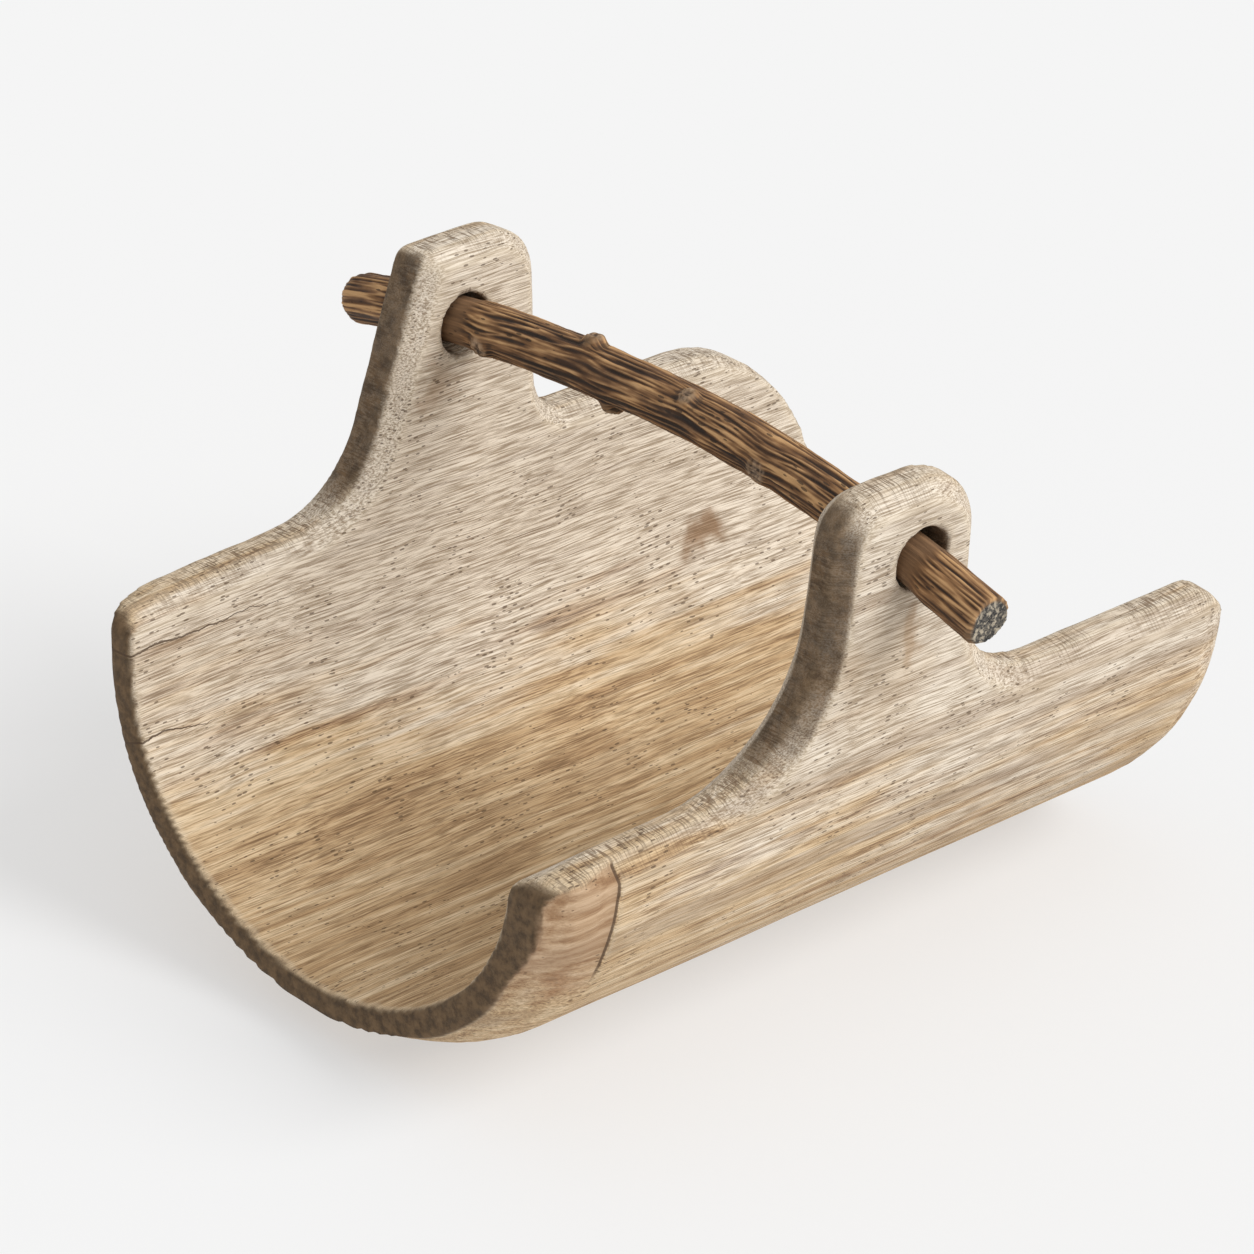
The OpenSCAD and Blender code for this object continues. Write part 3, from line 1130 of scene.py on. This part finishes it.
        strokes = np.zeros((len(points), 3))
        for side, outline in zip((-1.0, 1.0), outlines):
            mine = np.flatnonzero((np.sign(points[:, 0]) == side) & (points[:, 2] > 0.11))
            for chunk in np.array_split(mine, max(1, len(mine) // 4000)):
                away = np.hypot(
                    points[chunk, 1][:, None] - outline[:, 0][None, :],
                    points[chunk, 2][:, None] - outline[:, 1][None, :],
                )
                nearest = away.argmin(1)
                strokes[chunk, 0] = outline[nearest, 2] + (1.0 if side > 0 else 0.0)
                strokes[chunk, 1] = depth[chunk] + away.min(1)
        write_mask(mesh, Mask.STROKES, relaxed(strokes, read_edges(mesh), 2))
        write_mask(mesh, Mask.INSIDE, inside)
        write_mask(mesh, Mask.CUT_FACE, cut * (1.0 - end))
        write_mask(mesh, Mask.END_GRAIN, end)
        # The shaded mask marks faces turned to the front, away from the sun, for the painted shade in the finish.
        write_mask(mesh, Mask.SHADED, smooth_step(0.30, 0.75, -normals[:, 1]) * (1.0 - inside))
        write_mask(mesh, Mask.FACET, facet)
        write_mask(mesh, Mask.GIRTH, girth)
        write_mask(mesh, Mask.CONVEX, convexity(mesh, 10, 1.1 * MM))

    def trim_ends(self, points: np.ndarray, facing: np.ndarray) -> np.ndarray:
        """Thins the front end underneath, and sets the left back corner a little forward.

        Args:
            points: The trough's points.
            facing: How far each point's normal points out of the wall, from -1 to 1.

        Returns:
            The moved points.
        """
        low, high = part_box(self.node)
        moved = points.copy()
        thin = smooth_step(low[1] + 0.045, low[1], points[:, 1]) * smooth_step(0.100, 0.050, np.abs(points[:, 0]))
        moved[:, 2] += self.front_thin * thin * smooth_step(0.2, 0.7, facing)
        late = smooth_step(high[1] - 0.090, high[1], points[:, 1]) * smooth_step(0.100, 0.200, points[:, 2])
        moved[:, 1] -= self.back_set * late * (points[:, 0] < 0)
        return moved

    def knob_share(self, points: np.ndarray, depth: np.ndarray) -> np.ndarray:
        """How far each point moves out for the knob left at the top of the right front corner.

        Args:
            points: The trough's points.
            depth: Each point's depth in the wall.

        Returns:
            One distance a point.
        """
        low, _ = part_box(self.node)
        near = smooth_step(low[1] + 0.050, low[1] + 0.012, points[:, 1]) * smooth_step(0.088, 0.130, points[:, 2])
        outer = smooth_step(self.section.wall, self.section.wall - 18 * MM, depth)
        return self.knob_out * near * outer * (points[:, 0] > 0)

    def facet_share(self, points: np.ndarray, outside: np.ndarray) -> np.ndarray:
        """1 high on the outer face near the right front corner, fading out underneath.

        Args:
            points: The trough's points.
            outside: 1 on the outer face.

        Returns:
            One number a point.
        """
        low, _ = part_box(self.node)
        near = points[:, 1] < low[1] + self.facet_len + 6 * MM
        return near * smooth_step(0.062, 0.112, points[:, 2]) * (points[:, 0] > 0) * np.clip(outside * 1.5, 0.0, 1.0)

    def clear_holes(self, points: np.ndarray, depth: np.ndarray) -> np.ndarray:
        """Keeps the holes at their real size, with rounded edges.

        Args:
            points: The trough's points.
            depth: Each point's depth in the wall.

        Returns:
            The points, with those in the holes moved out to the holes' wall.
        """
        y, z = points[:, 1] - self.hole_y, points[:, 2] - self.hole_z
        away = np.hypot(y, z)
        from_face = np.clip(np.minimum(depth, self.section.wall - depth), 0.0, self.hole_edge)
        flare = self.hole_edge - np.sqrt(np.maximum(self.hole_edge**2 - (self.hole_edge - from_face) ** 2, 0.0))
        wanted = self.hole_r + flare
        near = away < wanted
        factor = np.where(near, wanted / np.maximum(away, 1e-6), 1.0)
        moved = points.copy()
        moved[:, 1] = self.hole_y + y * factor
        moved[:, 2] = self.hole_z + z * factor
        return moved

    def dress(self, finish: CarvedWoodFinish) -> None:
        """Gives the trough its finish and its place in the frame."""
        self.piece.data.materials.append(finish.build())
        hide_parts(self.node)
        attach(self.piece, Body.TROUGH.value)


@dataclass(frozen=True)
class TwigStub:
    """What is left of a side twig: its place along the stick and round it, its radius and height."""

    along: float
    turn: float
    radius: float
    proud: float


@dataclass
class StickHandle:
    """The bent branch that lies in both ears."""

    node: str = "stick_handle"
    radius: float = 13 * MM
    bow: float = 15 * MM
    sway: float = 1.5 * MM
    ear_mid: float = 164.035 * MM
    ear_half: float = 15.55 * MM
    bark: float = 0.6 * MM
    bark_run: float = 14 * MM
    ridge: float = 0.85 * MM
    sides: int = 168
    coarse_cuts: int = 19
    fine_cuts: int = 17
    left_round: float = 9 * MM
    right_chamfer: float = 2.2 * MM
    twigs: tuple[TwigStub, ...] = (
        TwigStub(-126 * MM, 200, 7.5 * MM, 2.6 * MM),
        TwigStub(-54 * MM, 85, 6.5 * MM, 4.6 * MM),
        TwigStub(-36 * MM, 260, 7 * MM, 4.6 * MM),
        TwigStub(20 * MM, 120, 6 * MM, 3.6 * MM),
        TwigStub(76 * MM, 190, 9 * MM, 1.4 * MM),
    )
    piece: Optional[bpy.types.Object] = None

    def build(self, joint: dict[str, Any]) -> bpy.types.Object:
        """Models the stick.

        Args:
            joint: The hinge that the stick turns on, from the record.

        Returns:
            The finished piece.
        """
        low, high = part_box(self.node)
        length = high[0] - low[0]
        deselect_all()
        bpy.ops.mesh.primitive_cylinder_add(
            vertices=self.sides,
            radius=self.radius,
            depth=length,
            end_fill_type="NGON",
            location=((low[0] + high[0]) / 2, 0.0, 0.0),
            rotation=(0.0, math.pi / 2, 0.0),
        )
        piece = bpy.context.object
        piece.name = "branch_handle"
        bpy.ops.object.transform_apply(location=True, rotation=True, scale=True)
        self.close_ends(piece)
        for cuts in (self.coarse_cuts, self.fine_cuts):
            self.cut_rings(piece, cuts)
        self.shape(piece.data, joint, low[0], high[0])
        activate(piece)
        bpy.ops.object.mode_set(mode="EDIT")
        bpy.ops.mesh.select_all(action="SELECT")
        bpy.ops.mesh.normals_make_consistent(inside=False)
        bpy.ops.object.mode_set(mode="OBJECT")
        bpy.ops.object.shade_smooth()
        self.write_wear(piece.data)
        self.piece = piece
        return piece

    def close_ends(self, piece: bpy.types.Object) -> None:
        """Insets rings in both ends, so that they can be rounded and cracked."""
        activate(piece)
        bpy.ops.object.mode_set(mode="EDIT")
        bpy.ops.mesh.select_mode(type="FACE")
        for _ in range(14):
            bpy.ops.mesh.select_all(action="DESELECT")
            bpy.ops.object.mode_set(mode="OBJECT")
            for face in piece.data.polygons:
                face.select = len(face.vertices) == self.sides
            bpy.ops.object.mode_set(mode="EDIT")
            bpy.ops.mesh.inset(thickness=self.radius / 15.0, use_individual=True)
        bpy.ops.mesh.select_all(action="DESELECT")
        bpy.ops.object.mode_set(mode="OBJECT")
        for face in piece.data.polygons:
            face.select = len(face.vertices) == self.sides
        bpy.ops.object.mode_set(mode="EDIT")
        bpy.ops.mesh.poke()
        bpy.ops.object.mode_set(mode="OBJECT")

    def cut_rings(self, piece: bpy.types.Object, cuts: int) -> None:
        """Cuts the long faces into rings.

        Args:
            piece: The stick.
            cuts: How many cuts each long edge gets.
        """
        activate(piece)
        points, edges = read_points(piece.data), read_edges(piece.data)
        span = np.abs(points[edges[:, 0], 0] - points[edges[:, 1], 0])
        level = np.abs(points[edges[:, 0], 1:] - points[edges[:, 1], 1:]).max(1)
        long_edges = (span > 4 * MM) & (level < 1e-5)
        piece.data.edges.foreach_set("select", long_edges)
        piece.data.vertices.foreach_set("select", np.isin(np.arange(len(points)), edges[long_edges].ravel()))
        piece.data.polygons.foreach_set("select", np.zeros(len(piece.data.polygons), bool))
        bpy.ops.object.mode_set(mode="EDIT")
        bpy.ops.mesh.select_mode(type="EDGE")
        bpy.ops.object.mode_set(mode="OBJECT")
        piece.data.edges.foreach_set("select", long_edges)
        bpy.ops.object.mode_set(mode="EDIT")
        bpy.ops.mesh.subdivide(number_cuts=cuts)
        bpy.ops.object.mode_set(mode="OBJECT")

    def bark_share(self, x: np.ndarray) -> np.ndarray:
        """0 where the stick is whittled to lie in an ear, 1 where its ridges are whole."""
        return smooth_step(self.ear_half + 2 * MM, self.ear_half + self.bark_run, np.abs(np.abs(x) - self.ear_mid))

    def shape(self, mesh: bpy.types.Mesh, joint: dict[str, Any], left: float, right: float) -> None:
        """Bends the straight stick, and gives it its ridges, twig stubs and ends.

        Args:
            mesh: The stick's mesh.
            joint: The hinge that it turns on.
            left: Where its left end is.
            right: Where its right end is.
        """
        points = read_points(mesh)
        x = points[:, 0]
        share = np.hypot(points[:, 1], points[:, 2]) / self.radius
        turn = np.arctan2(points[:, 2], points[:, 1])
        around = np.stack([np.cos(turn), np.sin(turn)], 1) * self.radius
        bark = self.bark_share(x)

        swirl = np.zeros(len(x))
        lump = np.zeros(len(x))
        knot = np.zeros(len(x))
        for twig in self.twigs:
            angle = math.radians(twig.turn)
            off = (turn - angle + math.pi) % (2 * math.pi) - math.pi
            dx, dy = x - twig.along, off * self.radius
            away = np.hypot(dx, dy)
            top = twig.proud * (1.0 - smooth_step(0.35, 1.25, away / twig.radius))
            dimple = 0.9 * MM * np.exp(-((away / (0.28 * twig.radius)) ** 2))
            collar = 0.5 * MM * np.exp(-(((away - twig.radius * 0.62) / (0.18 * twig.radius)) ** 2))
            lump = np.maximum(lump, top) - dimple + collar * 0.6
            knot = np.maximum(knot, 1.0 - smooth_step(0.45, 0.85, away / twig.radius))
            swirl += dy * 0.9 * np.exp(-((away / (1.9 * twig.radius)) ** 2))

        lines = np.stack([x * 0.055, around[:, 0] * 1.0, around[:, 1] * 1.0], 1)
        lines[:, 1] += swirl * 0.35 * -np.sin(turn)
        lines[:, 2] += swirl * 0.35 * np.cos(turn)
        deep = perlin(lines, (430.0, 430.0, 430.0), 5.0)
        fine = perlin(lines, (820.0, 820.0, 820.0), 9.0)
        broken = perlin(np.stack([x * 0.35, around[:, 0], around[:, 1]], 1), (420.0, 420.0, 420.0), 14.0, 2)
        ridges = 1.0 - 1.9 * np.abs(deep) + 0.60 * fine + 0.18 * broken
        slow = perlin(np.stack([x, around[:, 0], around[:, 1]], 1), (22.0, 60.0, 60.0), 2.0)
        flats = perlin(np.stack([x, around[:, 0], around[:, 1]], 1), (34.0, 130.0, 130.0), 21.0)
        r = self.radius - 0.05 * MM
        r = r + bark * (self.bark + 0.35 * MM * slow + self.ridge * (ridges - 0.75))
        r = r - (1.0 - bark) * 0.35 * MM * smooth_step(-0.1, 0.5, flats)
        r = r + lump * np.clip(bark * 2, 0, 1)

        # The left end is rounded over and the right one cut off with a narrow bevel.
        from_left, from_right = x - left, right - x
        dome = np.sqrt(np.clip(1.0 - (1.0 - np.clip(from_left / self.left_round, 0, 1)) ** 2, 0.0, 1.0))
        bevel = 1.0 - 0.16 * (1.0 - np.clip(from_right / self.right_chamfer, 0, 1))
        on_left_cap = from_left < 0.01 * MM
        on_right_cap = from_right < 0.01 * MM
        narrow = np.where(on_left_cap, 1.0, 0.30 + 0.70 * dome) * np.where(on_right_cap, 0.84, bevel)
        narrow = np.where(on_left_cap, 0.30, narrow)
        rough_end = perlin(np.stack([x * 0, points[:, 1], points[:, 2]], 1), (1.0, 230.0, 420.0), 31.0, 3)
        x = x + np.where(on_left_cap, (1.0 - share) * 0.2 * MM, 0.0)
        x = x - np.where(on_right_cap, (0.9 + 0.9 * rough_end) * MM * np.clip((1.0 - share) * 5, 0, 1), 0.0)
        r = r * narrow * np.clip(share, 0.0, 1.0)

        slope = np.arctan(-2.0 * self.bow / self.ear_mid**2 * x)
        pivot = joint["pos_m"]
        rise = pivot[2] + self.bow - self.bow / self.ear_mid**2 * x**2
        drift = pivot[1] + self.sway * np.sin(np.radians(x / MM * 1.3)) * bark
        bent = np.stack(
            [
                x - np.sin(slope) * np.sin(turn) * r,
                drift + np.cos(turn) * r,
                rise + np.cos(slope) * np.sin(turn) * r,
            ],
            1,
        )
        low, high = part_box(self.node)
        write_points(mesh, np.clip(bent, np.array(low), np.array(high)))
        write_mask(mesh, Mask.STRAIGHT, np.stack([x, around[:, 0] * share, around[:, 1] * share], 1))
        write_mask(mesh, Mask.RELIEF, np.where(bark > 0, np.clip(0.5 + 0.5 * (ridges - 0.4) * bark, 0.0, 1.0), 0.5))
        write_mask(mesh, Mask.WHITTLED, (1.0 - bark) * (1.0 - on_right_cap))
        write_mask(mesh, Mask.KNOT, knot)
        write_mask(mesh, Mask.END_GRAIN, on_right_cap.astype(float))

    def write_wear(self, mesh: bpy.types.Mesh) -> None:
        """Writes where the stick is rubbed light and where its hollows are darkened."""
        write_mask(mesh, Mask.CONVEX, convexity(mesh, 8, 0.30 * MM))

    def dress(self, finish: StickFinish) -> None:
        """Gives the stick its finish and its place in the frame."""
        self.piece.data.materials.append(finish.build())
        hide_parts(self.node)
        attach(self.piece, Body.STICK.value)


# ---------------------------------------------------------------------------------------------
# Floor, light and camera
# ---------------------------------------------------------------------------------------------


@dataclass
class Studio:
    """A pale floor, soft light and the camera."""

    floor_size: float = 14.0
    floor_grey: float = 0.42
    floor_glow: float = 0.475
    sky: float = 0.62
    sun: float = 2.1
    sun_from: tuple[float, float, float] = (0.70, 0.40, 0.66)
    sun_softness: float = math.radians(38)
    azimuth: float = math.radians(45.36)
    elevation: float = math.radians(27.91)
    roll: float = math.radians(3.11)
    distance: float = 3.486
    lens: float = 192.1
    aim: tuple[float, float, float] = (-0.0558, 0.0248, 0.1181)

    def build_floor(self, height: float) -> bpy.types.Object:
        """Lays the floor.

        Args:
            height: The floor's height.

        Returns:
            The floor.
        """
        deselect_all()
        bpy.ops.mesh.primitive_plane_add(size=self.floor_size, location=(0.0, 0.0, height))
        floor = bpy.context.object
        floor.name = "floor"
        bpy.ops.object.transform_apply(location=True)
        material = bpy.data.materials.new("pale_floor")
        material.use_nodes = True
        shader = material.node_tree.nodes["Principled BSDF"]
        shader.inputs["Base Color"].default_value = (self.floor_grey, self.floor_grey, self.floor_grey, 1.0)
        shader.inputs["Roughness"].default_value = 1.0
        shader.inputs["Specular IOR Level"].default_value = 0.0
        shader.inputs["Emission Color"].default_value = (1.0, 1.0, 1.0, 1.0)
        shader.inputs["Emission Strength"].default_value = self.floor_glow
        floor.data.materials.append(material)
        floor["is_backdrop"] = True
        return floor

    def build_light(self) -> None:
        """Adds the sky all round and one soft sun."""
        world = bpy.data.worlds.new("soft_room")
        world.use_nodes = True
        background = world.node_tree.nodes["Background"]
        background.inputs["Color"].default_value = (1.0, 1.0, 1.0, 1.0)
        background.inputs["Strength"].default_value = self.sky
        bpy.context.scene.world = world
        lamp = bpy.data.lights.new("soft_sun", "SUN")
        lamp.energy = self.sun
        lamp.angle = self.sun_softness
        holder = bpy.data.objects.new("soft_sun", lamp)
        holder.rotation_mode = "QUATERNION"
        holder.rotation_quaternion = Vector(self.sun_from).to_track_quat("Z", "Y")
        bpy.context.scene.collection.objects.link(holder)
        bpy.context.scene.view_settings.view_transform = "Standard"

    def build_camera(self, foot: Vector) -> bpy.types.Object:
        """Sets the camera up.

        Args:
            foot: The middle of the foot that the object stands on.

        Returns:
            The camera.
        """
        sin_a, cos_a = math.sin(self.azimuth), math.cos(self.azimuth)
        sin_e, cos_e = math.sin(self.elevation), math.cos(self.elevation)
        back = Vector((sin_a * cos_e, -cos_a * cos_e, sin_e))
        right = Vector((cos_a, sin_a, 0.0))
        up = back.cross(right)
        turned_right = math.cos(self.roll) * right + math.sin(self.roll) * up
        turned_up = math.cos(self.roll) * up - math.sin(self.roll) * right
        axes = Matrix((turned_right, turned_up, back)).transposed().to_4x4()
        data = bpy.data.cameras.new("camera")
        data.lens = self.lens
        data.sensor_width = 36.0
        data.clip_start, data.clip_end = 0.1, 60.0
        camera = bpy.data.objects.new("camera", data)
        camera.matrix_world = Matrix.Translation(foot + Vector(self.aim) + back * self.distance) @ axes
        bpy.context.scene.collection.objects.link(camera)
        bpy.context.scene.camera = camera
        return camera


def report(piece: bpy.types.Object) -> None:
    """Logs a piece's name, size and count of triangles."""
    piece.data.calc_loop_triangles()
    size = piece.dimensions
    log.info(
        "%s: %d triangles, %.1f x %.1f x %.1f mm",
        piece.name, len(piece.data.loop_triangles), size[0] / MM, size[1] / MM, size[2] / MM,
    )


def main() -> None:
    """Builds the pieces, dresses them, and sets up the floor, the light and the camera."""
    logging.basicConfig(level=logging.INFO, format="%(message)s")
    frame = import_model()
    low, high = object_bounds()
    joint = frame["joints"][0]

    shared = WoodGrain()
    grain, wear = shared.build_grain(), shared.build_wear()
    trough = Trough(hole_y=joint["pos_m"][1])
    report(trough.build())
    trough.dress(CarvedWoodFinish(grain, wear, front_y=low[1]))
    stick = StickHandle()
    report(stick.build(joint))
    stick.dress(StickFinish(grain, wear))

    studio = Studio()
    studio.build_floor(low[2])
    studio.build_light()
    studio.build_camera(Vector((0.0, 0.0, low[2])))
    deselect_all()

    low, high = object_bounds()


if __name__ == "__main__":
    main()
